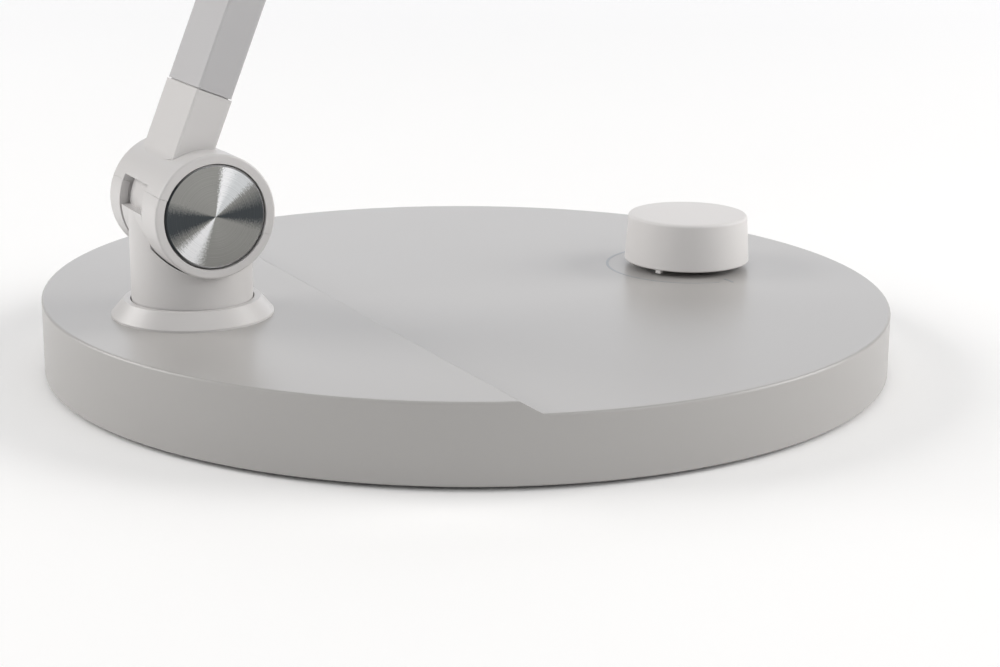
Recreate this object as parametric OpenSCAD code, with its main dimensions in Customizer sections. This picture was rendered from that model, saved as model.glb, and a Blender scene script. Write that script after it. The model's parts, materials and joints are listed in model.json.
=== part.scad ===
// Folding desk lamp: a round weighted base, a swivelling post, a leaning
// rectangular arm and a flat bar head that folds down against the arm.
// Millimetres, +Z up, the front of the lamp towards -Y. The origin is the
// centre of the base, in the plane in which its foot mat rests on the desk.

/* [Base] */
// Diameter of the round base
base_d = 210; // [200:1:250]
// Height of the rear plateau above the rim's lower edge
rear_h = 18.3; // [18:0.1:24]
// How far the front plateau lies below the rear one
step_drop = 2.8; // [1:0.1:3]
// Distance from the base's rear edge to the top line of the ramp
ramp_margin = 67; // [60:0.5:85]
// Length of the ramp from the rear plateau down to the front one
ramp_run = 4.6; // [3:0.1:8]
// Wall and skin thickness of the base shell
shell_t = 2.5; // [2:0.1:3]
// Rounding of the base's outer edges
edge_round = 0.6; // [0.3:0.1:1]
// Height of the rim's lower edge above the desk
rim_lift = 1; // [0.6:0.1:1.4]
// Thickness of the foot mat
mat_t = 1.6; // [1.5:0.1:2]
// Width of the bare ring between the foot mat and the base's edge
mat_margin = 14; // [13:0.5:20]
// Thickness of the steel floor pan
pan_t = 1.5; // [1:0.1:2]
// Thickness of the ballast plate
ballast_t = 7.5; // [5:0.1:7.5]
// Number of screws round the floor pan
pan_screw_count = 6; // [6:6:12]
// Depth of the pan's screws in their bosses
pan_screw_reach = 7.5; // [6:0.5:8]

/* [Post] */
// Distance from the base's rear edge to the post's axis
post_margin = 32.2; // [31:0.1:38]
// Diameter of the post
post_d = 28.4; // [27:0.1:29]
// Diameter of the collar at its foot
collar_d = 38; // [36:0.5:42]
// Diameter of the collar at its top
collar_top_d = 32; // [31.5:0.1:34]
// Height of the collar
collar_h = 4; // [3:0.1:6]
// Running gap between the collar and the post
collar_gap = 0.3; // [0.3:0.05:0.8]
// Diameter of the hollow spigot that the post turns on
spigot_d = 16; // [14:0.5:17]
// Bore of the hollow spigot
spigot_bore = 9; // [7:0.5:10]
// Depth of the spigot's socket in the post
socket_depth = 8; // [6:0.5:9]
// Wall of the swivel bush
bush_wall = 3; // [2.5:0.1:3]
// Thickness of the swivel bush's flange
bush_flange_t = 1.2; // [1:0.1:1.6]

/* [Hinges] */
// Height of the lower hinge axis above the rim's lower edge
hinge_h = 44.5; // [43:0.5:60]
// Diameter of the hinge barrels
barrel_d = 28.7; // [28.5:0.1:31]
// Length of a barrel from the middle of the slot to its near face
near_reach = 17.4; // [17:0.1:22]
// Length of a barrel from the middle of the slot to its far face
far_reach = 15.2; // [14:0.1:22]
// Rounding of the barrels' end edges
barrel_round = 0.5; // [0.4:0.1:1.2]
// Width of the slot in a barrel
slot_w = 15.8; // [15:0.1:16]
// Side gap between a tongue and its slot, which the washer fills
tongue_gap = 0.8; // [0.6:0.05:1]
// Diameter of a tongue
tongue_d = 24; // [22:0.5:24]
// Running gap round a tongue and round a barrel
round_gap = 0.35; // [0.3:0.05:0.6]
// Diameter of the metal cap discs
cap_d = 23.8; // [20:0.1:24]
// Thickness of the metal cap discs
cap_t = 1.5; // [1:0.1:2]
// Gap round a cap disc
cap_gap = 0.3; // [0.2:0.05:0.5]
// How far a cap disc lies below the barrel's end face
cap_sink = 0.25; // [0.1:0.05:0.5]
// Gap of the parting line between a knuckle and its covers
part_gap = 0.05; // [0.05:0.01:0.2]
// How far the arm can turn back from rest, and the angle of the window that lets it
arm_back = 28; // [24:1:32]
// How far the head can turn up from rest
head_up = 45; // [10:1:45]

/* [Hinge bolts] */
// Diameter of the hinge bolts
bolt_d = 6; // [5:0.5:6]
// Diameter of a bolt head
bolt_head_d = 11; // [9:0.5:12]
// Thickness of a bolt head
bolt_head_t = 3.4; // [2:0.1:3.6]
// Thickness of a hinge nut
hinge_nut_t = 3.2; // [2:0.1:3.2]
// Width across the corners of a hinge nut
hinge_nut_d = 10.4; // [9.5:0.1:11]
// Diameter of the friction washers
washer_d = 19; // [14:0.5:20]
// Wall of the steel bush inside a tongue
tongue_bush_wall = 2; // [1:0.1:2.5]

/* [Arm] */
// Lean of the arm from the vertical, towards the front
lean = 22.2; // [18:0.1:26]
// Length of the arm from hinge axis to hinge axis
arm_len = 350; // [345:1:420]
// Width of the arm tube, along the hinge axes
tube_w = 20.3; // [18:0.1:22]
// Thickness of the arm tube
tube_h = 8.5; // [7.5:0.1:8.6]
// Distance from the hinge axes back to the front face of the tube
arm_offset = 2.8; // [1.4:0.1:2.9]
// Wall of the arm tube
tube_wall = 1.2; // [1:0.1:1.5]
// Bevel along the arm's edges
arm_bevel = 0.4; // [0.2:0.1:0.8]
// How much the moulded stubs stand proud of the tube
stub_proud = 0.2; // [0.1:0.05:0.3]
// Distance from a hinge axis to the seam between stub and tube
seam_s = 25.7; // [24:0.1:32]
// Gap of the seam between stub and tube
seam_gap = 0.3; // [0.1:0.05:0.5]
// Depth of the groove that the seam shows
seam_depth = 0.5; // [0.3:0.1:0.8]
// Length of the stubs' tenons inside the tube
tenon_len = 20; // [16:0.5:30]
// Radius of the concave blend between a stub and its barrel
blend_r = 4.5; // [3:0.5:8]
// Width of the flat lead inside the arm and the head
lead_w = 3; // [2:0.1:4]
// Thickness of the flat lead inside the arm and the head
lead_t = 1.6; // [1:0.1:2]

/* [Head] */
// Length of the head's housing
head_len = 296; // [240:1:296]
// Width of the head
head_w = 42; // [40:0.5:60]
// Thickness of the head
head_t = 12; // [12:0.1:12.6]
// Distance from the elbow axis up to the head's underside
head_gap = 1.5; // [1.2:0.1:1.6]
// Distance from the elbow axis to the start of the housing
neck_len = 30; // [26:0.5:40]
// Thickness of the head's neck
neck_t = 8.5; // [7.6:0.1:8.5]
// Widening of the neck on each side where it meets the head
neck_flare = 3; // [2:0.1:4]
// Width of the neck's tenon inside the head
neck_tenon_w = 26; // [22:0.5:30]
// Wall of the head's housing
head_wall = 1.4; // [1.2:0.1:1.8]
// Rounding of the housing's upper long edges
head_round = 3.6; // [2:0.1:4]
// Thickness of the diffuser
diffuser_t = 2; // [1.5:0.1:2.2]
// Thickness of the heat spreader
spreader_t = 1.9; // [1:0.1:2]
// Thickness of the light board
led_board_t = 1.2; // [0.8:0.1:1.6]
// Spacing of the light sources along the head
led_pitch = 9; // [8:0.5:14]
// Side of one light source
led_size = 3; // [2:0.1:3.5]
// Thickness of the head's end caps
end_cap_t = 2.4; // [2:0.1:3]
// Depth of the panels behind the end caps that cover the housing's ends
end_panel = 20; // [18:0.5:24]

/* [Dimmer] */
// Distance from the base's front edge to the knob's axis
knob_margin = 39.7; // [37:0.1:45]
// Diameter of the knob at its foot
knob_d = 32.8; // [30:0.1:36]
// Diameter of the knob at its top
knob_top_d = 31.4; // [28:0.1:32.6]
// Height of the knob
knob_h = 12.6; // [10:0.1:12.8]
// Gap under the knob
knob_lift = 1.6; // [1:0.1:2]
// Rounding of the knob's top edge
knob_round = 0.8; // [0.5:0.1:2]
// Doming of the knob's top
knob_dome = 0.3; // [0:0.05:0.6]
// Wall of the knob
knob_wall = 1.8; // [1.4:0.1:2.4]
// Direction of the knob's pointer at rest, from +X towards +Y
pointer_angle = 120; // [0:0.5:180]
// How far the pointer lug hangs below the knob's lower edge
pointer_drop = 0.85; // [0.5:0.05:1]
// Diameter of the dimmer's shaft
shaft_d = 6; // [5:0.5:6]
// Diameter of the dimmer's can
can_d = 17; // [14:0.5:20]
// Height of the dimmer's can
can_h = 6.4; // [5:0.1:6.4]
// Thickness of the control board
board_t = 1.6; // [1:0.1:1.6]
// Width of the control board
board_w = 60; // [54:1:66]
// Depth of the control board from front to back
board_l = 34; // [30:1:36]

/* [Inlet] */
// Direction of the power inlet from the base's centre, from +X towards +Y
inlet_angle = 45; // [38:1:50]
// Height of the inlet's middle above the rim's lower edge
inlet_h = 9; // [8:0.5:10]
// Width of the inlet's opening
inlet_w = 9; // [8:0.1:10]
// Height of the inlet's opening
inlet_t = 3.2; // [3:0.1:3.6]

/* [Fits] */
// Radial running clearance of shafts in their bores
run_fit = 0.05; // [0.02:0.01:0.08]
// Gap between pieces that are fixed to each other
set_gap = 0.05; // [0.02:0.01:0.1]

/* [Hidden] */
$fn = 96;
white = [0.93, 0.92, 0.91];
metal = [0.72, 0.73, 0.74];
dark = [0.2, 0.2, 0.21];

base_r = base_d / 2;
ramp_y = base_r - ramp_margin;
rear_top = rim_lift + rear_h;
front_top = rear_top - step_drop;
pan_z = mat_t;
pan_r = base_r - shell_t - 0.3;
floor_z = pan_z + pan_t;
ballast_top = floor_z + ballast_t;
pan_screw_r = base_r - 8.5;
pan_boss_r = 4;
ballast_r = pan_screw_r - pan_boss_r - 0.5;

post_y = base_r - post_margin;
post_r = post_d / 2;
hinge_z = rim_lift + hinge_h;
bush_r = spigot_d / 2 + bush_wall;
bush_top = rear_top + bush_flange_t;
post_z = bush_top + 0.1;
swivel_boss_r = bush_r + 2.5;
swivel_boss_z = rim_lift + 9;
spigot_washer_t = 1;
spigot_nut_t = 3.5;
spigot_z = swivel_boss_z - spigot_washer_t - spigot_nut_t - 0.3;
spigot_nut_r = bush_r + 0.5;
pedestal_hole_r = swivel_boss_r + 3;

barrel_r = barrel_d / 2;
tongue_r = tongue_d / 2;
tongue_w = slot_w - 2 * tongue_gap;
slot_r = tongue_r + 0.6;
cap_r = cap_d / 2;
seat_r = cap_r + cap_gap;
cap_room = cap_sink + cap_t + set_gap;
neck_r = barrel_r - 0.25;
shelf_drop = 0.25;
near_cheek = near_reach - cap_room;
far_cheek = far_reach - cap_room;
bolt_r = bolt_d / 2;
head_face = near_cheek - 0.5 - bolt_head_t;
nut_face = far_cheek - 0.1 - hinge_nut_t;
tongue_bush_r = bolt_r + run_fit + tongue_bush_wall;

stub_w = tube_w + 2 * stub_proud;
stub_lo = arm_offset - stub_proud;
stub_hi = arm_offset + tube_h + stub_proud;
stop_spare = 0.9;
lower_bridge = [arm_back - lean, 90 - stop_spare];
elbow_y = post_y - arm_len * sin(lean);
elbow_z = hinge_z + arm_len * cos(lean);
lead_mid = arm_offset + tube_h / 2;

head_lo = head_gap;
head_hi = head_gap + head_t;
head_end = neck_len + head_len;
spreader_z = head_hi - head_wall - spreader_t;
led_board_z = spreader_z - led_board_t;
tenon_z = spreader_z - 5.2;
neck_screw_x = neck_tenon_w / 2 - 4;
neck_spare = 3;
upper_bridge = [
    lean + head_up + asin((head_lo + neck_t) / slot_r) + neck_spare - 180,
    90 + asin(head_lo / barrel_r) - neck_spare];
diffuser_z = head_lo + 0.2;
ledge_z = diffuser_z + diffuser_t + set_gap;
inner_w = head_w - 2 * head_wall;
board_half = inner_w / 2 - 5;
channel_x = inner_w / 2 - 2;
channel_z = ledge_z + 5.2;

knob_y = base_r - knob_margin;
knob_z = front_top + knob_lift;
knob_top = knob_z + knob_h;
board_z = front_top - shell_t - can_h - board_t;
board_top = board_z + board_t;
board_boss_r = 3.2;
board_boss_x = board_w / 2 - 4;
board_boss_y = board_l / 2 - 4;
shaft_r = shaft_d / 2;
dimmer_bush_r = shaft_r + 0.5;
dimmer_nut_t = 1.8;

inlet_z = rim_lift + inlet_h;
inlet_depth = 14;
inlet_case_w = inlet_w + 4;
inlet_case_t = inlet_t + 3.6;
inlet_face = sqrt(pow(base_r - shell_t - set_gap, 2) - pow(inlet_case_w / 2, 2)) - set_gap;

lead_r = 0.9;
lead_z = ballast_top + lead_r + 0.1;
inlet_lead_x = board_boss_x - board_boss_r - lead_r - 2;
post_lead_x = 10;

// Points of an arc, with both ends
function arc(c, r, from, to, steps = 5) =
    [for (i = [0:steps]) let (a = from + (to - from) * i / steps) c + r * [cos(a), sin(a)]];

// Tangent points of a blend circle that rests on the stub's back face and on the barrel
blend_c = [stub_hi + blend_r, sqrt(pow(barrel_r + blend_r, 2) - pow(stub_hi + blend_r, 2))];
blend_a = 180 + atan2(blend_c[1], blend_c[0]);
blend_bow_r = 28;
blend_bow_drop = 2.7;

// Frames of the moving pieces
module at_post() translate([0, post_y, 0]) children();
module at_hinge() translate([0, post_y, hinge_z]) children();
module in_arm() at_hinge() rotate([lean, 0, 0]) children();
module in_elbow() in_arm() translate([0, 0, arm_len]) mirror([0, 0, 1]) children();
module in_head() translate([0, elbow_y, elbow_z]) rotate([0, 0, 180]) children();
module at_knob() translate([0, -knob_y, 0]) children();
module at_inlet() rotate([0, 0, inlet_angle]) children();

// Basic forms
module box(low, high) translate(low) cube(high - low);

module post_like(r, low, high) translate([0, 0, low]) cylinder(r = r, h = high - low);

module along_x(r, low, high) translate([low, 0, 0]) rotate([0, 90, 0]) cylinder(r = r, h = high - low);

module along_y(r, low, high) translate([0, high, 0]) rotate([90, 0, 0]) cylinder(r = r, h = high - low);

// A flat shape drawn in Y and Z, drawn out along X
module plate_x(low, high) translate([low, 0, 0]) rotate([90, 0, 90]) linear_extrude(high - low) children();

// A flat shape drawn in X and Z, drawn out along Y
module plate_y(low, high) translate([0, high, 0]) rotate([90, 0, 0]) linear_extrude(high - low) children();

module hexagon_x(d, low, high) translate([low, 0, 0]) rotate([0, 90, 0])
    cylinder(d = d, h = high - low, $fn = 6);

module screw_up(head_r, head_t, shank_r, length) {
    post_like(head_r, -head_t, 0);
    post_like(shank_r, -head_t / 2, length);
}

module bevelled(low, high, bevel) polygon([
    [low[0] + bevel, low[1]], [high[0] - bevel, low[1]], [high[0], low[1] + bevel],
    [high[0], high[1] - bevel], [high[0] - bevel, high[1]], [low[0] + bevel, high[1]],
    [low[0], high[1] - bevel], [low[0], low[1] + bevel]]);

// A square lead through a list of points, each straight along one axis from the last
module lead(points, r) for (i = [1:len(points) - 1])
    let (a = points[i - 1], b = points[i])
        box([for (k = [0:2]) min(a[k], b[k]) - r], [for (k = [0:2]) max(a[k], b[k]) + r]);

// Base
module plateau(top) rotate_extrude() polygon(concat(
    [[0, rim_lift], [base_r - edge_round / 2, rim_lift], [base_r, rim_lift + edge_round / 2]],
    arc([base_r - edge_round, top - edge_round], edge_round, 0, 90),
    [[0, top]]));

module behind_ramp() plate_x(-base_r - 1, base_r + 1) polygon([
    [ramp_y - 2 * ramp_run, front_top - step_drop],
    [ramp_y + ramp_run, rear_top + step_drop],
    [base_r + 1, rear_top + step_drop],
    [base_r + 1, front_top - step_drop]]);

module base_outside() {
    plateau(front_top);
    intersection() {
        plateau(rear_top);
        behind_ramp();
    }
}

module base_inside() {
    post_like(base_r - shell_t, rim_lift - 1, front_top - shell_t);
    intersection() {
        post_like(base_r - shell_t, rim_lift - 1, rear_top - shell_t);
        box([-base_r, ramp_y + shell_t, 0], [base_r, base_r, rear_top]);
    }
}

module at_pan_screws() for (i = [0:pan_screw_count - 1])
    rotate([0, 0, i * 360 / pan_screw_count]) translate([pan_screw_r, 0, 0]) children();

module at_board_screws() at_knob() for (x = [-1, 1], y = [-1, 1])
    translate([x * board_boss_x, y * board_boss_y, 0]) children();

module inlet_hole(grow) {
    r = inlet_t / 2 + grow;
    side = (inlet_w - inlet_t) / 2;
    for (y = [-side, side])
        translate([0, y, 0]) along_x(r, -inlet_depth, 1);
    box([-inlet_depth, -side, -r], [1, side, r]);
}

module base_shell() color(white) difference() {
    union() {
        difference() {
            base_outside();
            base_inside();
        }
        // Bosses for the pan's screws hang from the skin
        intersection() {
            base_outside();
            at_pan_screws() post_like(pan_boss_r, floor_z, rear_top - shell_t / 2);
        }
        at_board_screws() post_like(board_boss_r, board_top, front_top - shell_t / 2);
        at_post() post_like(swivel_boss_r, swivel_boss_z, rear_top - shell_t / 2);
        at_inlet() for (side = [-1, 1])
            translate([0, side * (inlet_case_w / 2 + set_gap + 1), 0])
                box([base_r - shell_t - inlet_depth, -1, inlet_z - inlet_case_t / 2],
                    [base_r - shell_t / 2, 1, rear_top - shell_t / 2]);
    }
    at_pan_screws() post_like(1.5 + set_gap, floor_z - 1, floor_z + pan_screw_reach + 0.5);
    at_board_screws() post_like(1.2 + set_gap, board_z, board_top + 5);
    at_post() post_like(bush_r + set_gap, 0, rear_top + 1);
    at_knob() post_like(dimmer_bush_r + 0.2, front_top - shell_t - 1, front_top + 1);
    at_inlet() translate([base_r, 0, inlet_z]) inlet_hole(0.3);
}

module base_pan() color(metal) difference() {
    post_like(pan_r, pan_z, floor_z);
    at_pan_screws() post_like(1.8, pan_z - 1, floor_z + 1);
}

module ballast_plate() color(dark) difference() {
    post_like(ballast_r, floor_z, ballast_top);
    at_post() post_like(pedestal_hole_r, floor_z - 1, ballast_top + 1);
    at_knob() box([-board_w / 2 - 3, -base_r, floor_z - 1],
        [board_w / 2 + 3, board_l / 2 + 4.3, ballast_top + 1]);
    at_inlet() box([base_r - shell_t - inlet_depth - 4, -inlet_case_w / 2 - 3, floor_z - 1],
        [base_r, inlet_case_w / 2 + 3, ballast_top + 1]);
}

module foot_mat() color(dark) post_like(base_r - mat_margin, 0, mat_t);

module pan_screws() color(metal) at_pan_screws() translate([0, 0, pan_z])
    screw_up(3, 1.3, 1.5, pan_t + pan_screw_reach);

module post_collar() color(white) at_post() rotate_extrude() polygon([
    [post_r + collar_gap, rear_top], [collar_d / 2, rear_top], [collar_d / 2, rear_top + 0.5],
    [collar_top_d / 2, rear_top + collar_h], [post_r + collar_gap, rear_top + collar_h]]);

module swivel_bush() color("ivory") at_post() difference() {
    union() {
        post_like(bush_r, swivel_boss_z, bush_top);
        post_like(post_r - 0.6, rear_top, bush_top);
    }
    post_like(spigot_d / 2 + run_fit, swivel_boss_z - 1, bush_top + 1);
}

module power_inlet() color(dark) at_inlet() translate([inlet_face, 0, inlet_z]) difference() {
    box([-inlet_depth, -inlet_case_w / 2, -inlet_case_t / 2], [0, inlet_case_w / 2, inlet_case_t / 2]);
    translate([shell_t, 0, 0]) inlet_hole(0);
}

module inlet_contacts() color("gold") at_inlet() translate([inlet_face, 0, inlet_z])
    box([shell_t - inlet_depth, -inlet_w / 2 + 1.6, -0.35], [-1, inlet_w / 2 - 1.6, 0.35]);

module base_leads() color(dark) {
    start = (inlet_face - inlet_depth - 2 * lead_r) * cos(inlet_angle);
    side = (inlet_face - inlet_depth - 2 * lead_r) * sin(inlet_angle);
    edge = -knob_y + board_l / 2 + 3.1;
    on_board = [0, edge - 4.8, board_top + lead_r + 0.1];
    down = post_y - 11.3;
    low = floor_z + lead_r + 0.1;
    in_x = inlet_lead_x;
    out_x = -post_lead_x;
    lead([[start, side, lead_z], [start, 0, lead_z], [in_x, 0, lead_z], [in_x, edge, lead_z],
        [in_x, edge, on_board[2]], on_board + [in_x, 0, 0]], lead_r);
    lead([on_board + [out_x, 0, 0], [out_x, edge, on_board[2]], [out_x, edge, lead_z],
        [out_x, down, lead_z], [out_x, down, low], [out_x, post_y, low], [-3, post_y, low]], lead_r);
}

module control_board() color("darkgreen") difference() {
    at_knob() box([-board_w / 2, -board_l / 2, board_z], [board_w / 2, board_l / 2, board_top]);
    at_board_screws() post_like(1.4, board_z - 1, board_top + 1);
}

module board_screws() color(metal) at_board_screws() translate([0, 0, board_z])
    screw_up(2.4, 1.1, 1.2, board_t + 4.5);

module dimmer_can() color(metal) at_knob() difference() {
    union() {
        post_like(can_d / 2, board_top, front_top - shell_t);
        post_like(dimmer_bush_r, board_top, knob_z + 0.9);
    }
    post_like(shaft_r + run_fit, board_top + 1, knob_z + 2);
}

module dimmer_nut() color(metal) at_knob() difference() {
    translate([0, 0, front_top]) cylinder(r = dimmer_bush_r + 2.2, h = dimmer_nut_t, $fn = 6);
    post_like(dimmer_bush_r + set_gap, front_top - 1, front_top + 3);
}

module knob_outside() rotate_extrude() {
    rim = knob_top_d / 2;
    edge_z = knob_top - knob_dome - knob_round;
    polygon(concat(
        [[0, knob_z], [knob_d / 2 - 0.3, knob_z], [knob_d / 2, knob_z + 0.3]],
        arc([rim - knob_round, edge_z], knob_round, 0, 80),
        [for (i = [6:-1:0]) let (x = (rim - 1.2 * knob_round) * i / 6)
            [x, knob_top - knob_dome * pow(x / rim, 2)]]));
}

module knob() color(white) at_knob() difference() {
    union() {
        knob_outside();
        rotate([0, 0, pointer_angle])
            box([knob_d / 2 - knob_wall, -0.7, knob_z - pointer_drop],
                [knob_d / 2 - 0.35, 0.7, knob_z + 0.5]);
    }
    difference() {
        post_like(knob_top_d / 2 - knob_wall, knob_z - 1, knob_top - knob_dome - 2.4);
        post_like(shaft_r + 2.4, knob_z + 1.3, knob_top);
    }
    post_like(shaft_r + set_gap, knob_z - 1, knob_top - 2.8);
}

module dimmer_shaft() color(metal) at_knob() post_like(shaft_r, board_top + 1.1, knob_top - 2.9);

// Post
module post() color(white) difference() {
    union() {
        difference() {
            at_post() post_like(post_r, post_z, hinge_z - shelf_drop);
            // Saddle for the two ends of the barrel
            at_hinge() along_x(barrel_r + round_gap, -near_reach - 1, -tongue_w / 2);
            at_hinge() along_x(barrel_r + round_gap, tongue_w / 2, near_reach + 1);
        }
        at_hinge() along_x(tongue_r, -tongue_w / 2, tongue_w / 2);
        at_hinge() difference() {
            along_x(neck_r, -tongue_w / 2, tongue_w / 2);
            box([-tongue_w, -barrel_r - 1, -shelf_drop], [tongue_w, barrel_r + 1, barrel_r + 1]);
        }
    }
    at_hinge() along_x(tongue_bush_r + set_gap, -tongue_w, tongue_w);
    at_post() post_like(spigot_d / 2 + set_gap, post_z - 1, post_z + socket_depth);
    at_post() post_like(spigot_bore / 2, post_z, post_z + socket_depth + 3);
}

module post_spigot() color(metal) at_post() difference() {
    post_like(spigot_d / 2, spigot_z, post_z + socket_depth - set_gap);
    post_like(spigot_bore / 2, spigot_z - 1, hinge_z);
}

module spigot_washer() color(metal) at_post() difference() {
    post_like(bush_r + 1.4, swivel_boss_z - spigot_washer_t - 0.05, swivel_boss_z - 0.05);
    post_like(spigot_d / 2 + set_gap, spigot_z, swivel_boss_z);
}

module spigot_nut() color(metal) at_post() difference() {
    translate([0, 0, spigot_z + 0.2]) cylinder(r = spigot_nut_r, h = spigot_nut_t, $fn = 6);
    post_like(spigot_d / 2 + set_gap, spigot_z - 1, swivel_boss_z);
}

module post_lead() color(dark) at_post()
    translate([0, lead_r + 0.1 - spigot_bore / 2, 0])
        post_like(lead_r, spigot_z + 0.2, post_z + socket_depth + 2.9);

// Hinge pieces, in a frame whose X is the hinge axis and whose Z points up the stub
module tongue_bush() color(metal) difference() {
    along_x(tongue_bush_r, -tongue_w / 2, tongue_w / 2);
    along_x(bolt_r + run_fit, -tongue_w, tongue_w);
}

module hinge_bolt() color(metal) {
    along_x(bolt_head_d / 2, -head_face - bolt_head_t, -head_face);
    along_x(bolt_r, -head_face - 1, nut_face + hinge_nut_t);
}

module hinge_nut() color(metal) difference() {
    hexagon_x(hinge_nut_d, nut_face, nut_face + hinge_nut_t);
    along_x(bolt_r + set_gap, nut_face - 1, nut_face + hinge_nut_t + 1);
}

module hinge_washers() color(dark) for (side = [-1, 1])
    mirror([side < 0 ? 1 : 0, 0, 0]) difference() {
        along_x(washer_d / 2, tongue_w / 2 + set_gap, slot_w / 2 - set_gap);
        along_x(bolt_r + 0.3, 0, slot_w);
    }

module cap_disc(face) color(metal) rotate([0, 90, 0]) rotate_extrude() polygon([
    [0, 0], [cap_r, 0], [cap_r, face * (cap_t - 0.4)], [cap_r - 0.4, face * cap_t], [0, face * cap_t]]);

module near_cap() translate([-near_cheek - set_gap, 0, 0]) cap_disc(-1);

module far_cap() translate([far_cheek + set_gap, 0, 0]) cap_disc(1);

// Skin of the barrel: two rings with rounded end edges
module barrel_ring(r_in, low, high, round_low, round_high) rotate([0, 90, 0])
    rotate_extrude() polygon(concat(
        [[r_in, low]],
        arc([barrel_r - round_low, low + round_low], round_low, 270, 360),
        arc([barrel_r - round_high, high - round_high], round_high, 0, 90),
        [[r_in, high]]));

module barrel_rings(r_in) {
    barrel_ring(r_in, -near_reach, -slot_w / 2, barrel_round, 0.15);
    barrel_ring(r_in, slot_w / 2, far_reach, 0.15, barrel_round);
}

// Piece of the skin that crosses the slot, between two angles from +Y towards +Z
module bridge(span) intersection() {
    difference() {
        along_x(barrel_r, -slot_w / 2 - 0.5, slot_w / 2 + 0.5);
        along_x(slot_r, -slot_w, slot_w);
    }
    plate_x(-slot_w, slot_w) polygon(concat([[0, 0]], arc([0, 0], 2 * barrel_r, span[0], span[1])));
}

module above_parting() intersection() {
    children();
    box([-near_reach - 1, -barrel_r - 1, 0], [near_reach + 1, barrel_r + 1, barrel_r + 1]);
}

module below_parting() intersection() {
    children();
    box([-near_reach - 1, -barrel_r - 1, -barrel_r - 1], [near_reach + 1, barrel_r + 1, -part_gap]);
}

// Concave blend at the back of the stub, with a bowed lower line
module stub_blend() intersection() {
    plate_x(-stub_w / 2, stub_w / 2) polygon(concat(
        [[stub_hi - 1, blend_c[1]]],
        arc(blend_c, blend_r, 180, blend_a, 8),
        [(barrel_r - 1) * [cos(blend_a - 180), sin(blend_a - 180)], [stub_hi - 1, 0]]));
    translate([0, 0, blend_c[1] - blend_bow_drop + blend_bow_r]) along_y(blend_bow_r, 0, 2 * barrel_r);
}

module knuckle(span) color(white) difference() {
    union() {
        along_x(seat_r, -near_cheek, -slot_w / 2);
        along_x(seat_r, slot_w / 2, far_cheek);
        above_parting() along_x(seat_r + 0.5, -near_cheek, -slot_w / 2);
        above_parting() along_x(seat_r + 0.5, slot_w / 2, far_cheek);
        above_parting() barrel_rings(seat_r);
        above_parting() bridge(span);
        difference() {
            union() {
                linear_extrude(seam_s) bevelled([-stub_w / 2, stub_lo], [stub_w / 2, stub_hi], arm_bevel);
                stub_blend();
            }
            along_x(slot_r, -stub_w, stub_w);
        }
        // Low plinth that closes the seam behind its groove
        translate([0, 0, seam_s - 1]) linear_extrude(1 + seam_gap - set_gap)
            bevelled([-tube_w / 2 + seam_depth, arm_offset + seam_depth],
                [tube_w / 2 - seam_depth, arm_offset + tube_h - seam_depth], arm_bevel);
        translate([0, 0, seam_s - 1]) linear_extrude(tenon_len + 1)
            bevelled([-tube_w / 2 + tube_wall + set_gap, arm_offset + tube_wall + set_gap],
                [tube_w / 2 - tube_wall - set_gap, arm_offset + tube_h - tube_wall - set_gap], arm_bevel);
    }
    along_x(bolt_r + set_gap, -near_reach, far_reach);
    along_x(bolt_head_d / 2 + 0.5, -near_reach, -head_face);
    hexagon_x(hinge_nut_d + 0.3, nut_face, far_reach);
    box([-lead_w / 2 - set_gap, lead_mid - lead_t / 2 - set_gap, bolt_r + 3],
        [lead_w / 2 + set_gap, lead_mid + lead_t / 2 + set_gap, seam_s + tenon_len + 1]);
    for (side = [-1, 1])
        translate([side * tube_w / 4, 0, seam_s + tenon_len / 2])
            along_y(1 + set_gap, 0, arm_offset + tube_wall + 2.1);
}

module lower_knuckle() in_arm() knuckle(lower_bridge);

module lower_near_cover() in_arm() color(white) below_parting()
    barrel_ring(seat_r + 0.1, -near_reach, -slot_w / 2, barrel_round, 0.15);

module lower_far_cover() in_arm() color(white) below_parting()
    barrel_ring(seat_r + 0.1, slot_w / 2, far_reach, 0.15, barrel_round);

module upper_knuckle() in_elbow() knuckle(upper_bridge);

module upper_cover() in_elbow() color(white) below_parting() {
    barrel_rings(seat_r + 0.1);
    bridge(upper_bridge);
}

module lower_bush() at_hinge() tongue_bush();
module lower_near_cap() in_arm() near_cap();
module lower_far_cap() in_arm() far_cap();
module lower_bolt() in_arm() hinge_bolt();
module lower_nut() in_arm() hinge_nut();
module lower_washers() in_arm() hinge_washers();
module upper_near_cap() in_elbow() near_cap();
module upper_far_cap() in_elbow() far_cap();
module upper_bolt() in_elbow() hinge_bolt();
module upper_nut() in_elbow() hinge_nut();
module upper_washers() in_elbow() hinge_washers();
module upper_bush() in_head() tongue_bush();

// Arm
module at_tube_screws()
    for (end = [seam_s + tenon_len / 2, arm_len - seam_s - tenon_len / 2], side = [-1, 1])
        translate([side * tube_w / 4, arm_offset, end]) children();

module arm_tube() color([0.9, 0.9, 0.92]) in_arm() difference() {
    translate([0, 0, seam_s + seam_gap]) linear_extrude(arm_len - 2 * seam_s - 2 * seam_gap) difference() {
        bevelled([-tube_w / 2, arm_offset], [tube_w / 2, arm_offset + tube_h], arm_bevel);
        bevelled([-tube_w / 2 + tube_wall, arm_offset + tube_wall],
            [tube_w / 2 - tube_wall, arm_offset + tube_h - tube_wall], arm_bevel);
    }
    at_tube_screws() along_y(2, -1, 0.7);
    at_tube_screws() along_y(1.2, -1, tube_wall + 0.5);
}

module tube_screws() color(metal) in_arm() at_tube_screws() {
    along_y(1.9, 0.1, 0.7);
    along_y(1, 0.5, tube_wall + 2);
}

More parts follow.
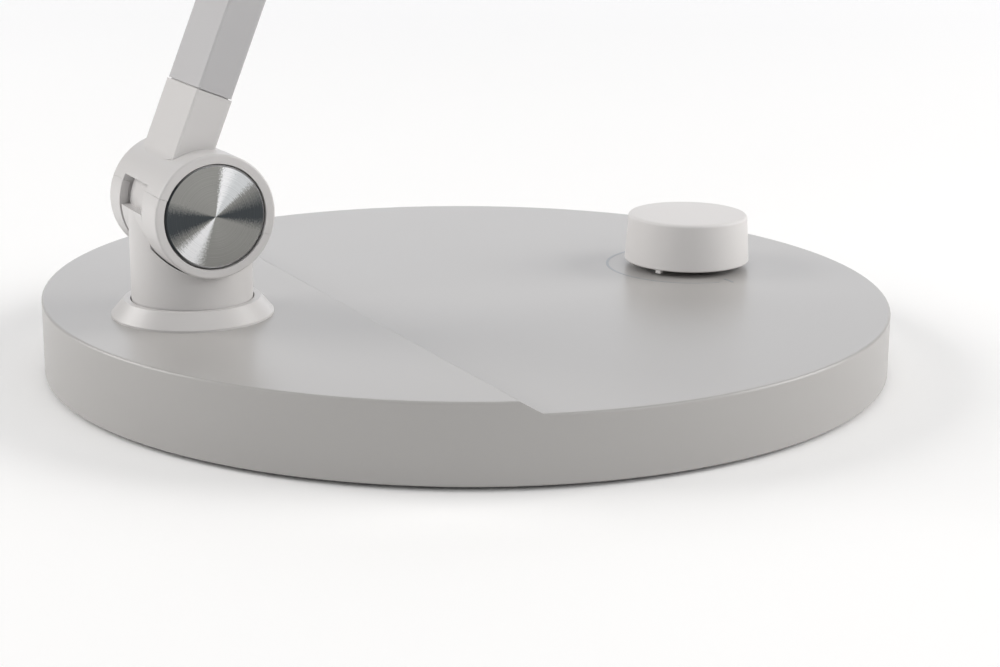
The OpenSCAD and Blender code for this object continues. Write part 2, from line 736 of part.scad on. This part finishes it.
module arm_lead() color(dark) in_arm()
    box([-lead_w / 2, lead_mid - lead_t / 2, slot_r + 1],
        [lead_w / 2, lead_mid + lead_t / 2, arm_len - slot_r - 1]);

// Head, in a frame whose Y points away from the elbow and whose Z points up
module head_outline(inset) {
    half = head_w / 2 - inset;
    r = head_round - inset;
    polygon(concat(
        [[-half, head_lo], [half, head_lo]],
        arc([half - r, head_hi - inset - r], r, 0, 90, 6),
        arc([r - half, head_hi - inset - r], r, 90, 180, 6)));
}

module at_neck_screws() for (side = [-1, 1])
    translate([side * neck_screw_x, neck_len + end_panel / 2, tenon_z]) children();

module at_cap_screws() for (side = [-1, 1])
    translate([side * channel_x, 0, channel_z]) children();

module head_neck() color(white) in_head() difference() {
    half = stub_w / 2;
    cap_y = neck_len - end_cap_t;
    union() {
        along_x(tongue_r, -tongue_w / 2, tongue_w / 2);
        box([-tongue_w / 2, 0, head_lo], [tongue_w / 2, barrel_r + 3, head_lo + neck_t]);
        translate([0, 0, head_lo]) linear_extrude(neck_t) polygon([
            [-half, barrel_r + 0.8], [half, barrel_r + 0.8], [half, cap_y - 2 * neck_flare],
            [half + neck_flare, cap_y - set_gap], [-half - neck_flare, cap_y - set_gap],
            [-half, cap_y - 2 * neck_flare]]);
        box([-tongue_w / 2, barrel_r + 2, tenon_z + 0.3], [tongue_w / 2, neck_len + 1, spreader_z - 0.3]);
        box([-neck_tenon_w / 2, neck_len + 0.1, tenon_z],
            [neck_tenon_w / 2, neck_len + end_panel - 2, spreader_z]);
    }
    along_x(tongue_bush_r + set_gap, -tongue_w, tongue_w);
    box([-lead_w / 2 - set_gap, tongue_bush_r + 2, tenon_z + 1 - set_gap],
        [lead_w / 2 + set_gap, neck_len + end_panel, tenon_z + 1 + lead_t + set_gap]);
    at_neck_screws() post_like(1.2 + set_gap, -1, 6);
}

module head_housing() color([0.9, 0.9, 0.92]) in_head() difference() {
    union() {
        plate_y(neck_len, head_end) difference() {
            head_outline(0);
            translate([0, head_lo]) square([inner_w, 2], center = true);
            intersection() {
                head_outline(head_wall);
                translate([-head_w, head_lo + 0.5]) square([2 * head_w, head_t]);
            }
        }
        // Ledges over the diffuser and channels for the cap screws
        for (side = [-1, 1]) {
            edges = side > 0 ? [inner_w / 2 - 1.6, inner_w / 2 + 0.3]
                : [-inner_w / 2 - 0.3, 1.6 - inner_w / 2];
            box([edges[0], neck_len + end_panel + 0.2, ledge_z],
                [edges[1], head_end - 6.2, ledge_z + 1]);
            translate([side * channel_x, 0, channel_z]) along_y(2.3, neck_len, head_end);
        }
    }
    at_cap_screws() along_y(0.9 + set_gap, neck_len - 1, head_end + 1);
}

module end_plate(low, high) plate_y(low, high) head_outline(0);

module rear_end_cap() color(white) in_head() difference() {
    union() {
        end_plate(neck_len - end_cap_t, neck_len - set_gap);
        box([set_gap - inner_w / 2, neck_len - 1, diffuser_z],
            [inner_w / 2 - set_gap, neck_len + end_panel, ledge_z - set_gap]);
    }
    box([-tongue_w / 2 - set_gap, 0, tenon_z + 0.3 - set_gap],
        [tongue_w / 2 + set_gap, neck_len + 0.05, spreader_z - 0.3 + set_gap]);
    at_cap_screws() along_y(1.1, 0, neck_len);
    at_cap_screws() along_y(2, 0, neck_len - end_cap_t + 1.2);
}

module front_end_cap() color(white) in_head() difference() {
    union() {
        end_plate(head_end + set_gap, head_end + end_cap_t);
        box([set_gap - inner_w / 2, head_end - 6, diffuser_z],
            [inner_w / 2 - set_gap, head_end + 1, ledge_z - set_gap]);
    }
    at_cap_screws() along_y(1.1, head_end, head_end + end_cap_t + 1);
    at_cap_screws() along_y(2, head_end + end_cap_t - 1.2, head_end + end_cap_t + 1);
}

module cap_screws() color(metal) in_head() at_cap_screws() {
    along_y(1.8, neck_len - end_cap_t + 0.2, neck_len - end_cap_t + 1.2);
    along_y(0.9, neck_len - end_cap_t + 1, neck_len + 8);
    along_y(1.8, head_end + end_cap_t - 1.2, head_end + end_cap_t - 0.2);
    along_y(0.9, head_end - 8, head_end + end_cap_t - 1);
}

module diffuser() color([1, 1, 0.97]) in_head()
    box([set_gap - inner_w / 2, neck_len + end_panel + set_gap, diffuser_z],
        [inner_w / 2 - set_gap, head_end - 6 - set_gap, diffuser_z + diffuser_t]);

module heat_spreader() color(metal) in_head() difference() {
    box([-board_half, neck_len + 0.1, spreader_z], [board_half, head_end - 1, spreader_z + spreader_t]);
    at_neck_screws() post_like(1.2 + set_gap, 0, 12);
}

module led_board() color("whitesmoke") in_head()
    box([-board_half, neck_len + end_panel, led_board_z], [board_half, head_end - 7, spreader_z]);

module leds() color("khaki") in_head() {
    first = neck_len + end_panel + led_pitch;
    count = floor((head_end - 7 - led_pitch - first) / led_pitch);
    for (i = [0:count], side = [-1, 1])
        translate([side * board_half / 2, first + i * led_pitch, led_board_z])
            box([-led_size / 2, -led_size / 2, -0.7], [led_size / 2, led_size / 2, 0]);
}

module neck_screws() color(metal) in_head() at_neck_screws() {
    post_like(1.2, -0.5, 5.2 + spreader_t - 0.1);
    post_like(2.2, -1, 0);
}

module head_lead() color(dark) in_head() {
    back = neck_len + end_panel;
    low = tenon_z + 1;
    box([-lead_w / 2, tongue_r + 2, low], [lead_w / 2, back + 4, low + lead_t]);
    box([-lead_w / 2, back + 2.4, low + 0.5], [lead_w / 2, back + 4, led_board_z]);
}

base_shell();
base_pan();
ballast_plate();
foot_mat();
pan_screws();
post_collar();
swivel_bush();
power_inlet();
inlet_contacts();
base_leads();
control_board();
board_screws();
dimmer_can();
dimmer_nut();
knob();
dimmer_shaft();
post();
post_spigot();
spigot_washer();
spigot_nut();
lower_bush();
post_lead();
lower_knuckle();
lower_near_cover();
lower_far_cover();
lower_near_cap();
lower_far_cap();
lower_bolt();
lower_nut();
lower_washers();
arm_tube();
arm_lead();
tube_screws();
upper_knuckle();
upper_cover();
upper_near_cap();
upper_far_cap();
upper_bolt();
upper_nut();
upper_washers();
head_neck();
upper_bush();
head_housing();
rear_end_cap();
front_end_cap();
diffuser();
heat_spreader();
led_board();
leds();
neck_screws();
cap_screws();
head_lead();
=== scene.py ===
# %% [markdown]
# A folding desk lamp: a round white base with a rotary dimmer, a post that
# swivels in a collar, a rectangular arm that leans forward and a flat bar head.
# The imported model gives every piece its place. This script gives each one its
# finish, adds the marks that are printed round the knob, and sets the light.

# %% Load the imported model
import json
import math

import bmesh
import bpy
from mathutils import Matrix, Vector


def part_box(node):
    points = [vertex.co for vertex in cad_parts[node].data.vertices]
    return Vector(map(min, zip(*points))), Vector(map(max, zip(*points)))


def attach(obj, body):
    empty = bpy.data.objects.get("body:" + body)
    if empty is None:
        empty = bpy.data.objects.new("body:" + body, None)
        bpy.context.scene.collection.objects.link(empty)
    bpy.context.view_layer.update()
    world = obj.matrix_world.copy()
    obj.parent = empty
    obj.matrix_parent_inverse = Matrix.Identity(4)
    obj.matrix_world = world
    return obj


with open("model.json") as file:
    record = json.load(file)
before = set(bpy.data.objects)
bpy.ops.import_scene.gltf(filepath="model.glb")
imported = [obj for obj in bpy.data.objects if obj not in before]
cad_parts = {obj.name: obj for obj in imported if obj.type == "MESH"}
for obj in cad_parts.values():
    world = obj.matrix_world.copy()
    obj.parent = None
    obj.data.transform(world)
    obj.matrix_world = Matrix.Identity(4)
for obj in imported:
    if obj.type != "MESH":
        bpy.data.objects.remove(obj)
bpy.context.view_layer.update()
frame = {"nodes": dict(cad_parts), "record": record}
nodes = frame["nodes"]
MM = 0.001

# %% [markdown]
# The camera comes first, because it decides how every finish is judged. A
# photographer would stand half a metre away with a short telephoto lens. Its
# place was solved from the outlines of the base, knob, post and barrel, so it
# is given as a point in millimetres and the directions it looks and holds up.

# %% Camera
CAMERA_AT = Vector((-456.72, 234.28, 145.01)) * MM
LOOK = Vector((0.85139, -0.45409, -0.26255))
UP = Vector((0.23549, -0.11637, 0.96489))
LENS_MM = 75.55
SENSOR_MM = 36
NEAREST_SEEN = 0.01


def make_camera():
    data = bpy.data.cameras.new("camera")
    data.lens = LENS_MM
    data.sensor_width = SENSOR_MM
    data.clip_start = NEAREST_SEEN
    camera = bpy.data.objects.new("camera", data)
    bpy.context.scene.collection.objects.link(camera)
    right = LOOK.cross(UP).normalized()
    up = right.cross(LOOK).normalized()
    axes = Matrix((right, up, -LOOK)).transposed()
    camera.matrix_world = Matrix.Translation(CAMERA_AT) @ axes.to_4x4()
    return camera


bpy.context.scene.camera = make_camera()
bpy.context.scene.view_settings.view_transform = "Standard"
print("camera at", [round(v, 4) for v in CAMERA_AT])

# %% [markdown]
# Every finish is a small network of shader nodes. One helper adds a node, sets
# what it is told and links what it is given, so that each material reads as a
# recipe. Colours are written as the hex values that a paint chart would give,
# and one function turns them to the linear values that light is counted in.
# The other helpers name what the recipes share: noise of a real size, a relief
# of a real depth, and a colour or a gloss that drifts a little over a surface.

# %% Helpers for materials
def linear(hex_colour):
    channels = [int(hex_colour[i:i + 2], 16) / 255 for i in (1, 3, 5)]
    return [c / 12.92 if c <= 0.04045 else ((c + 0.055) / 1.055) ** 2.4
            for c in channels] + [1.0]


def add(tree, kind, inputs=None, **settings):
    """Adds a node. A value in inputs is set, and a socket in inputs is linked."""
    made = tree.nodes.new(kind)
    for name, value in settings.items():
        setattr(made, name, value)
    for name, value in (inputs or {}).items():
        if isinstance(value, bpy.types.NodeSocket):
            tree.links.new(value, made.inputs[name])
        else:
            made.inputs[name].default_value = value
    return made


def new_material(name):
    made = bpy.data.materials.new(name)
    made.use_nodes = True
    made.node_tree.nodes.clear()
    return made, made.node_tree


def finish_with(tree, shader):
    add(tree, "ShaderNodeOutputMaterial", {"Surface": shader.outputs[0]})


def own_place(tree):
    """Each point's place in its own piece, so that a pattern moves with the piece."""
    return add(tree, "ShaderNodeTexCoord").outputs["Object"]


def noise(tree, place, size_mm, detail):
    return add(tree, "ShaderNodeTexNoise", {
        "Vector": place, "Scale": 1 / (size_mm * MM), "Detail": detail}).outputs["Fac"]


def relief(tree, height, depth_mm):
    return add(tree, "ShaderNodeBump", {
        "Height": height, "Strength": 1.0, "Distance": depth_mm * MM}).outputs["Normal"]


def drifting_tone(tree, factor, hex_colour, darkest, lightest):
    """A colour that drifts between two shares of itself."""
    tone = add(tree, "ShaderNodeValToRGB", {"Fac": factor})
    for stop, share in zip(tone.color_ramp.elements, (darkest, lightest)):
        stop.color = [min(1, c * share) for c in linear(hex_colour)[:3]] + [1]
    return tone.outputs["Color"]


def drifting_value(tree, factor, low, high):
    return add(tree, "ShaderNodeMapRange", {
        "Value": factor, "To Min": low, "To Max": high}).outputs["Result"]


print("an 18 % grey card is", [round(c, 3) for c in linear("#767676")[:3]])

# %% [markdown]
# The casings are ABS, moulded in a finely sparked tool. Sparking leaves a grain
# that softens the gloss without looking rough, and the flow of the melt leaves
# broad, very faint changes of tone. The base comes out of a smoother tool, so
# its top mirrors what stands behind it, softly. Its colour is set greyer than
# the casings' white as painted shade, so that its rim stays dark. The knob has
# the deepest grain, for the grip, and looks quite matt; its colour is set
# lighter than the casings' white as painted light, so that its sides stay bright.
# A real spark grain is about 0.1 to 0.2 mm. It is drawn at 0.25 mm, a little
# coarser, so that it shows in a picture of the whole base.

# %% Moulded ABS
GRAIN_MM = 0.25
FLOW_MM = 60
FLOW_DARKEST, FLOW_LIGHTEST = 0.975, 1.02
ABS_IOR = 1.54


def moulded_abs(name, hex_colour, roughness, grain_depth_mm):
    made, tree = new_material(name)
    place = own_place(tree)
    flow = noise(tree, place, FLOW_MM, 2.0)
    grain = noise(tree, place, GRAIN_MM, 2.0)
    finish_with(tree, add(tree, "ShaderNodeBsdfPrincipled", {
        "Base Color": drifting_tone(tree, flow, hex_colour, FLOW_DARKEST, FLOW_LIGHTEST),
        "Roughness": drifting_value(tree, flow, roughness - 0.02, roughness + 0.03),
        "IOR": ABS_IOR, "Normal": relief(tree, grain, grain_depth_mm)}))
    return made


casing_abs = moulded_abs("satin_moulded_abs", "#cac8c7", 0.36, 0.004)
# The base's colour is greyer than the casings' white: painted shade
base_abs_painted_shade = moulded_abs("smooth_moulded_abs_painted_shade", "#aaa8a6", 0.32, 0.0015)
# The knob's colour is lighter than the casings' white: painted light
knob_abs_painted_light = moulded_abs("matt_moulded_abs_painted_light", "#dad8d7", 0.6, 0.006)
print("moulded finishes", casing_abs.name, base_abs_painted_shade.name, knob_abs_painted_light.name)

# %% [markdown]
# The arm and the head are extruded aluminium with a powder coat. The powder melts
# into a skin with a slight orange peel of about 1 mm, so it is smoother
# close up than sparked plastic, with a soft ripple in its reflections. The
# coat's gloss also varies in patches of a few centimetres, where the powder
# lay thicker or thinner.

# %% Powder coated aluminium
PEEL_MM, PEEL_DEPTH_MM = 0.9, 0.004
PATCH_MM = 25
POWDER_IOR = 1.5


def powder_coat(name, hex_colour, roughness):
    made, tree = new_material(name)
    place = own_place(tree)
    peel = noise(tree, place, PEEL_MM, 1.0)
    patches = noise(tree, place, PATCH_MM, 3.0)
    finish_with(tree, add(tree, "ShaderNodeBsdfPrincipled", {
        "Base Color": linear(hex_colour),
        "Roughness": drifting_value(tree, patches, roughness - 0.03, roughness + 0.04),
        "IOR": POWDER_IOR, "Normal": relief(tree, peel, PEEL_DEPTH_MM)}))
    return made


arm_coat = powder_coat("white_powder_coat", "#b6b5b6", 0.4)
print("powder coat", arm_coat.name)

# %% [markdown]
# The hinge caps are aluminium discs, faced on a lathe. The tool leaves fine
# rings round the centre, and each ring throws light only outwards and inwards.
# So the disc shows bright and dark wedges that meet in its middle, like the
# blades of a fan. Soft light all round would wash them out, so the wedges are
# painted into the colour: painted highlights and painted shade as tones round
# the axis, shaken a little from ring to ring. They stay fixed to the disc
# wherever the light falls. An anisotropic metal with fine rings in its bump
# adds the true highlights.
# Real rings lie about 0.15 mm apart and glint in spots of about 0.2 mm. They
# are drawn at 0.22 and 0.4 mm, coarser than real, so that they show.
# A polished bevel runs round the rim. Its colour is painted: a painted highlight
# where it would turn towards the sky, fading to painted shade at its back edge.
# The short outer wall behind it is painted near black, a painted shadow of its recess.

# %% Faced aluminium with painted highlights and shade
RING_MM = 0.22
RING_DEPTH_MM = 0.002
SPARKLE_MM = 0.4
RING_SHAKE, SPARKLE_SHAKE, MEAN_SHAKE = 0.03, 0.045, 0.038
BEVEL_FROM_MM, WALL_FROM_MM = 11.5, 11.88
BEVEL_PAINTED_SHADE_AT_MM, BEVEL_PAINTED_HIGHLIGHT_AT_MM = -9, -1
# A near-black painted shadow for the short wall in the cap's recess
PAINTED_WALL_SHADOW = "#17140f"
# Painted highlight, lighter painted highlight, the metal's middle tone and painted shade, for the
# wedges and the bevel
PAINTED_HIGHLIGHT, PAINTED_LIGHT, MIDDLE, PAINTED_SHADE = "#f8f9fb", "#dcdfe1", "#949491", "#484c4f"
# Degrees round the axis, from the front upwards, and the tone at each: painted highlights,
# painted shade and, between them, the metal's middle tone
PAINTED_WEDGE_STOPS = [
    (-180, PAINTED_SHADE), (-164, PAINTED_SHADE), (-148, MIDDLE), (-137, PAINTED_HIGHLIGHT), (-120, PAINTED_HIGHLIGHT),
    (-106, MIDDLE), (-22, MIDDLE), (-8, PAINTED_SHADE), (8, PAINTED_SHADE), (34, MIDDLE), (42, PAINTED_LIGHT),
    (58, PAINTED_LIGHT), (70, PAINTED_HIGHLIGHT), (77, PAINTED_HIGHLIGHT), (83, MIDDLE), (156, MIDDLE), (172, PAINTED_SHADE)]


def maths(tree, operation, *values):
    """One sum on two or three values, each a number or a socket."""
    return add(tree, "ShaderNodeMath", dict(enumerate(values)),
               operation=operation).outputs["Value"]


def either(tree, factor, first, second):
    """The first colour where the factor is 0 and the second where it is 1."""
    return add(tree, "ShaderNodeMix", {"Factor": factor, 6: first, 7: second},
               data_type="RGBA").outputs[2]


def painted_wedge_tone(tree, turn):
    """The painted highlight and painted shade that the stops give at a share of a turn round the
    axis.
    """
    tone = add(tree, "ShaderNodeValToRGB", {"Fac": turn})
    ramp = tone.color_ramp
    while len(ramp.elements) < len(PAINTED_WEDGE_STOPS):
        ramp.elements.new(0.5)
    for stop, (degrees, hex_colour) in zip(ramp.elements, PAINTED_WEDGE_STOPS):
        stop.position = degrees / 360 + 0.5
        stop.color = linear(hex_colour)
    return tone.outputs["Color"]


def faced_aluminium_with_painted_highlights(name, centre):
    made, tree = new_material(name)
    offset = add(tree, "ShaderNodeVectorMath", {0: own_place(tree), 1: centre},
                 operation="SUBTRACT")
    parts = add(tree, "ShaderNodeSeparateXYZ", {"Vector": offset.outputs["Vector"]})
    forward = maths(tree, "MULTIPLY", parts.outputs["Y"], -1.0)
    flat = add(tree, "ShaderNodeCombineXYZ", {
        "X": forward, "Y": parts.outputs["Z"]}).outputs["Vector"]
    radius = add(tree, "ShaderNodeVectorMath", {0: flat}, operation="LENGTH").outputs["Value"]

    ring = add(tree, "ShaderNodeTexNoise", {
        "W": maths(tree, "MULTIPLY", radius, 1 / (RING_MM * MM)), "Scale": 1.0, "Detail": 2.0},
        noise_dimensions="1D").outputs["Fac"]
    sparkle = noise(tree, flat, SPARKLE_MM, 3.0)
    turn = add(tree, "ShaderNodeTexGradient", {"Vector": flat},
               gradient_type="RADIAL").outputs["Fac"]
    shaken = maths(tree, "MULTIPLY_ADD", ring, RING_SHAKE, turn)
    ragged = maths(tree, "MULTIPLY_ADD", sparkle, SPARKLE_SHAKE, shaken)
    # The wedge colours are painted highlights and painted shade, fixed round the disc's axis
    tone = painted_wedge_tone(tree, maths(tree, "SUBTRACT", ragged, MEAN_SHAKE))
    line_gain = add(tree, "ShaderNodeMapRange", {
        "Value": ring, "From Min": 0.3, "From Max": 0.7, "To Min": 0.92, "To Max": 1.07})
    lined = add(tree, "ShaderNodeVectorMath", {
        0: tone, "Scale": line_gain.outputs["Result"]}, operation="SCALE")

    # The bevel's colour is a painted highlight that fades to painted shade at its back edge
    painted_bevel_light_share = add(tree, "ShaderNodeMapRange", {
        "Value": forward, "From Min": BEVEL_PAINTED_SHADE_AT_MM * MM, "From Max": BEVEL_PAINTED_HIGHLIGHT_AT_MM * MM})
    bevel = either(tree, painted_bevel_light_share.outputs["Result"], linear(PAINTED_SHADE), linear(PAINTED_HIGHLIGHT))
    on_bevel = maths(tree, "GREATER_THAN", radius, BEVEL_FROM_MM * MM)
    # Past this radius the colour is a painted shadow of the recess
    painted_shadow_on_wall = maths(tree, "GREATER_THAN", radius, WALL_FROM_MM * MM)
    front = either(tree, on_bevel, lined.outputs["Vector"], bevel)

    tangent = add(tree, "ShaderNodeTangent", direction_type="RADIAL", axis="X")
    finish_with(tree, add(tree, "ShaderNodeBsdfPrincipled", {
        "Base Color": either(tree, painted_shadow_on_wall, front, linear(PAINTED_WALL_SHADOW)), "Metallic": 1.0,
        "Roughness": drifting_value(tree, sparkle, 0.22, 0.4), "Anisotropic": 0.6,
        "Tangent": tangent.outputs["Tangent"], "Normal": relief(tree, ring, RING_DEPTH_MM)}))
    return made


def centre_of(node):
    low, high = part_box(node)
    return [(a + b) / 2 for a, b in zip(low, high)]


CAPS = ["lower_near_cap", "lower_far_cap", "upper_near_cap", "upper_far_cap"]
cap_metal = {n: faced_aluminium_with_painted_highlights("faced_aluminium_with_painted_highlights_" + n, centre_of(n)) for n in CAPS}
print("faced metal for", sorted(cap_metal))

# %% [markdown]
# The remaining finishes are seen from below, at the joints or only when the lamp
# is taken apart: zinc plated screws, a rubber mat, black leads and the light
# board. They share one recipe with a fine speckle, because each is a plain,
# even material whose main mark is its gloss. The zinc is bright and hard, the
# iron is dull and blotched, and the rubber takes up nearly all the light.

# %% Plain finishes
SPECKLE_DEPTH_MM = 0.004


def plain_finish(name, hex_colour, roughness, metallic=0.0, speckle_mm=0.4, speckle=0.06):
    made, tree = new_material(name)
    fine = noise(tree, own_place(tree), speckle_mm, 3.0)
    finish_with(tree, add(tree, "ShaderNodeBsdfPrincipled", {
        "Base Color": drifting_tone(tree, fine, hex_colour, 1 - speckle, 1 + speckle),
        "Metallic": metallic, "Roughness": roughness, "IOR": 1.5,
        "Normal": relief(tree, fine, SPECKLE_DEPTH_MM)}))
    return made


plated_steel = plain_finish("zinc_plated_steel", "#b9bcc0", 0.28, metallic=1.0)
cast_ballast = plain_finish("blackened_iron", "#2b2b2d", 0.6, metallic=0.6,
                            speckle_mm=1.2, speckle=0.2)
mat_rubber = plain_finish("foot_rubber", "#1c1c1d", 0.8, speckle_mm=0.8, speckle=0.25)
acetal = plain_finish("natural_acetal", "#dcd8c8", 0.4)
black_plastic = plain_finish("black_nylon", "#141415", 0.45)
gold_plate = plain_finish("plated_contacts", "#d9b25a", 0.3, metallic=1.0)
solder_mask = plain_finish("green_solder_mask", "#1f5b36", 0.35)
mill_aluminium = plain_finish("mill_aluminium", "#c8c9cb", 0.38, metallic=1.0)
white_mask = plain_finish("white_solder_mask", "#eeeeec", 0.4)
phosphor = plain_finish("yellow_phosphor", "#ecd77c", 0.5)
print("plain finishes made")

# %% [markdown]
# The diffuser is opal acrylic. Light goes a couple of millimetres into it
# before it comes back, so it looks milky and its edges glow a little.

# %% Opal diffuser
HAZE_MM, HAZE_DEPTH_MM = 0.5, 0.003
LIGHT_GOES_IN = 2 * MM
ACRYLIC_IOR = 1.49


def opal_sheet(name):
    made, tree = new_material(name)
    haze = noise(tree, own_place(tree), HAZE_MM, 2.0)
    finish_with(tree, add(tree, "ShaderNodeBsdfPrincipled", {
        "Base Color": linear("#f4f3ee"), "Roughness": 0.32, "IOR": ACRYLIC_IOR,
        "Subsurface Weight": 0.4, "Subsurface Radius": [LIGHT_GOES_IN] * 3,
        "Subsurface Scale": 1.0, "Normal": relief(tree, haze, HAZE_DEPTH_MM)}))
    return made


opal = opal_sheet("opal_acrylic")
print("opal", opal.name)

# %% [markdown]
# Each imported piece names the kind of stuff it is made of. One table turns that
# name into a finish. The base, whose colour carries painted shade, and the four
# caps, whose colour carries painted highlights round each one's own centre,
# differ from their kind, so each has a finish of its own.

# %% Give every imported node its finish
FINISHES = {
    "shell_plastic": casing_abs, "knob_plastic": knob_abs_painted_light, "arm_metal": arm_coat,
    "steel": plated_steel, "ballast": cast_ballast, "mat_rubber": mat_rubber,
    "slide_plastic": acetal, "dark_plastic": black_plastic, "contact_metal": gold_plate,
    "board": solder_mask, "opal": opal, "spreader": mill_aluminium,
    "led_board": white_mask, "led": phosphor}
OWN_FINISH = {"base_shell": base_abs_painted_shade, **cap_metal}
slot_of = {s["node"]: s["material_slot"] for s in frame["record"]["subparts"]}
for name, obj in nodes.items():
    finish = OWN_FINISH.get(name) or FINISHES[slot_of[name]]
    for holder in obj.material_slots:
        holder.material = finish
print("finished", len(nodes), "nodes")

# %% [markdown]
# Round the knob a grey wedge is printed on the base: a thin line that grows as
# the light does, with a short tick where the dimmer is off. Ink has almost no
# height, so each mark is a very thin flat solid that lies on the plateau. It is
# drawn from its angles and widths, which keeps its edges crisp at any zoom.

# %% Printed dial
KNOB_AT = Vector((0, -65.3, 0)) * MM
PLATEAU_Z = 16.5 * MM
INK_MM = 0.03
DIAL_R = 21.0
DIAL_FROM, DIAL_TO = 171, -75
WEDGE_FROM, WEDGE_TO = 0.25, 1.2
TICK_AT, TICK_IN, TICK_OUT, TICK_W = 180, 18.2, 22.2, 0.6
STEPS = 120


def thin_band(name, rows, thickness_mm):
    """Closes a flat band given as pairs of points, inner and outer, round a line."""
    bm = bmesh.new()
    layers = [[[bm.verts.new(Vector((p[0] * MM, p[1] * MM, z)) + KNOB_AT) for p in pair]
               for pair in rows]
              for z in (PLATEAU_Z, PLATEAU_Z + thickness_mm * MM)]
    for a, b in zip(range(len(rows) - 1), range(1, len(rows))):
        (low_in, low_out), (low_in2, low_out2) = layers[0][a], layers[0][b]
        (top_in, top_out), (top_in2, top_out2) = layers[1][a], layers[1][b]
        bm.faces.new((top_in, top_out, top_out2, top_in2))
        bm.faces.new((low_in, low_in2, low_out2, low_out))
        bm.faces.new((low_in, top_in, top_in2, low_in2))
        bm.faces.new((low_out, low_out2, top_out2, top_out))
    for end in (0, -1):
        bm.faces.new((*layers[0][end], *reversed(layers[1][end])))
    bmesh.ops.recalc_face_normals(bm, faces=bm.faces)
    mesh = bpy.data.meshes.new(name)
    bm.to_mesh(mesh)
    bm.free()
    piece = bpy.data.objects.new(name, mesh)
    bpy.context.scene.collection.objects.link(piece)
    mesh.materials.append(dial_ink)
    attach(piece, "base")
    return piece


def ring_point(r, degrees):
    return (r * math.cos(math.radians(degrees)), r * math.sin(math.radians(degrees)))


dial_ink = plain_finish("pad_printing_ink", "#93979c", 0.35, speckle_mm=0.15, speckle=0.04)
wedge_rows = []
for i in range(STEPS + 1):
    share = i / STEPS
    angle = DIAL_FROM + (DIAL_TO - DIAL_FROM) * share
    half = (WEDGE_FROM + (WEDGE_TO - WEDGE_FROM) * share) / 2
    wedge_rows.append((ring_point(DIAL_R - half, angle), ring_point(DIAL_R + half, angle)))
dial_wedge = thin_band("dial_wedge", wedge_rows, INK_MM)
side_x, side_y = ring_point(TICK_W / 2, TICK_AT + 90)
tick_rows = []
for r in (TICK_IN, TICK_OUT):
    x, y = ring_point(r, TICK_AT)
    tick_rows.append(((x - side_x, y - side_y), (x + side_x, y + side_y)))
dial_off_tick = thin_band("dial_off_tick", tick_rows, INK_MM)
print("printed", dial_wedge.name, dial_off_tick.name)

# %% [markdown]
# A plain pale floor, a faint sky and seven soft lights stand in for a light
# tent. The two side lights are the strongest, so that the post, the knob and
# the rim are brightest at their edges. The light overhead and the three from
# the camera's side are weak: they only fill, so the faces that look at the
# camera stay the darkest, as they do in the photograph. A cool panel behind
# the lamp is mirrored in the base's satin top, which lifts the top above the
# rim. The lights stand round the lamp by angles from the camera's side.

# %% Floor and light
FLOOR_HALF = 6.0
FLOOR_WHITE, SIDE_WHITE, PANEL_WHITE = "#fdfdfd", "#fffdfb", "#f8faff"
RIGHT = LOOK.cross(UP).normalized()
AWAY = Vector((LOOK.x, LOOK.y, 0)).normalized()
AIM = Vector((0, 0, 0.03))


def make_floor():
    mesh = bpy.data.meshes.new("floor")
    corners = [(-1, -1), (1, -1), (1, 1), (-1, 1)]
    mesh.from_pydata([(x * FLOOR_HALF, y * FLOOR_HALF, 0) for x, y in corners],
                     [], [(0, 1, 2, 3)])
    floor = bpy.data.objects.new("floor", mesh)
    bpy.context.scene.collection.objects.link(floor)
    made, tree = new_material("pale_floor")
    finish_with(tree, add(tree, "ShaderNodeBsdfPrincipled", {
        "Base Color": linear(FLOOR_WHITE), "Roughness": 0.9}))
    mesh.materials.append(made)


def make_sky(strength):
    world = bpy.data.worlds.new("sky")
    bpy.context.scene.world = world
    world.use_nodes = True
    tree = world.node_tree
    tree.nodes.clear()
    sky = add(tree, "ShaderNodeBackground", {"Color": linear("#ffffff"), "Strength": strength})
    add(tree, "ShaderNodeOutputWorld", {"Surface": sky.outputs[0]})


def soft_light(name, place, width, height, watts, tint="#ffffff", aim=AIM):
    data = bpy.data.lights.new(name, "AREA")
    data.shape = "RECTANGLE"
    data.size, data.size_y = width, height
    data.energy = watts
    data.color = linear(tint)[:3]
    lamp = bpy.data.objects.new(name, data)
    bpy.context.scene.collection.objects.link(lamp)
    lamp.location = place
    lamp.rotation_euler = (aim - place).to_track_quat("-Z", "Y").to_euler()


def round_lamp(turn, height, distance):
    """A place round the lamp: degrees to the right of the camera's side, and degrees up."""
    flat = RIGHT * math.sin(math.radians(turn)) - AWAY * math.cos(math.radians(turn))
    rise = math.radians(height)
    return AIM + (flat * math.cos(rise) + Vector((0, 0, math.sin(rise)))) * distance


make_floor()
make_sky(0.1)
soft_light("overhead", Vector((0.1, -0.05, 1.3)), 1.3, 1.3, 2)
soft_light("right_side", round_lamp(98, 26, 1.6), 1.0, 1.0, 18, SIDE_WHITE)
soft_light("left_side", round_lamp(-98, 26, 1.6), 1.0, 1.0, 16.5, SIDE_WHITE)
soft_light("front_high", round_lamp(0, 54, 1.7), 1.2, 1.2, 3.5)
soft_light("front_right", round_lamp(45, 25, 1.6), 1.0, 0.7, 5.5)
soft_light("front_left", round_lamp(-45, 25, 1.6), 1.0, 0.7, 3.5)
soft_light("back_panel", AIM + AWAY * 1.3 + Vector((0, 0, 0.4)), 1.8, 0.7, 5.2,
           PANEL_WHITE, aim=AIM + Vector((0, 0, 0.1)))
print("stage and lights made")
